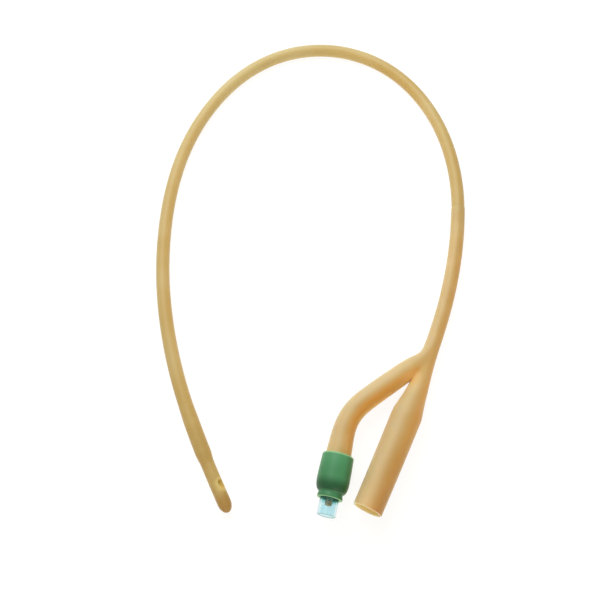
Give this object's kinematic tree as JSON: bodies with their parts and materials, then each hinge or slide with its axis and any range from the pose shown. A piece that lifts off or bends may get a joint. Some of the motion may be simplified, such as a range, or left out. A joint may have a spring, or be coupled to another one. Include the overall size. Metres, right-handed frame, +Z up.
{
  "type": "foley urinary catheter",
  "caption": "Latex balloon catheter lying in an open loop, with a rounded tip, a drainage funnel and a side arm that ends in a sprung valve.",
  "frame": {"origin": "On the surface that the catheter lies on, under the centre of the box round everything but the free tube (drainage tip, balloon, connector and valve).", "axes": "+Y runs from the open end of the loop, where tip, funnel and valve lie, towards the top of the loop. +X points to the connector's side. +Z is up from the surface."},
  "size_m": [0.113, 0.1882, 0.0111],
  "materials": {
    "tip_latex": "amber latex, satin, slightly translucent",
    "balloon_latex": "thin amber latex, satin",
    "tube_latex": "amber latex with a thin smooth coating",
    "moulded_latex": "amber moulded latex, satin",
    "green_collar": "soft green sleeve, satin",
    "clear_plastic": "clear moulded plastic with a blue tint",
    "tail_plastic": "pale moulded plastic",
    "stem_plastic": "dark brown moulded plastic",
    "seal_rubber": "black elastomer",
    "spring_steel": "bright spring wire"
  },
  "bodies": {
    "root": {"drainage_tip": "tip_latex", "balloon_sleeve": "balloon_latex", "shaft": "tube_latex", "y_connector": "moulded_latex", "valve_collar": "green_collar", "valve_housing": "clear_plastic", "valve_tail": "tail_plastic", "valve_spring": "spring_steel"},
    "stem": {"valve_stem": "stem_plastic", "valve_seal": "seal_rubber"}
  },
  "joints": [
    {"name": "valve_press", "type": "slide", "parent": "root", "child": "stem", "axis": [0.2282, 0.9705, -0.0778], "range_m": [0, 0.0012], "stiffness_N_per_m": 300, "springref_m": -0.0015, "deforming": ["valve_spring"]}
  ]
}
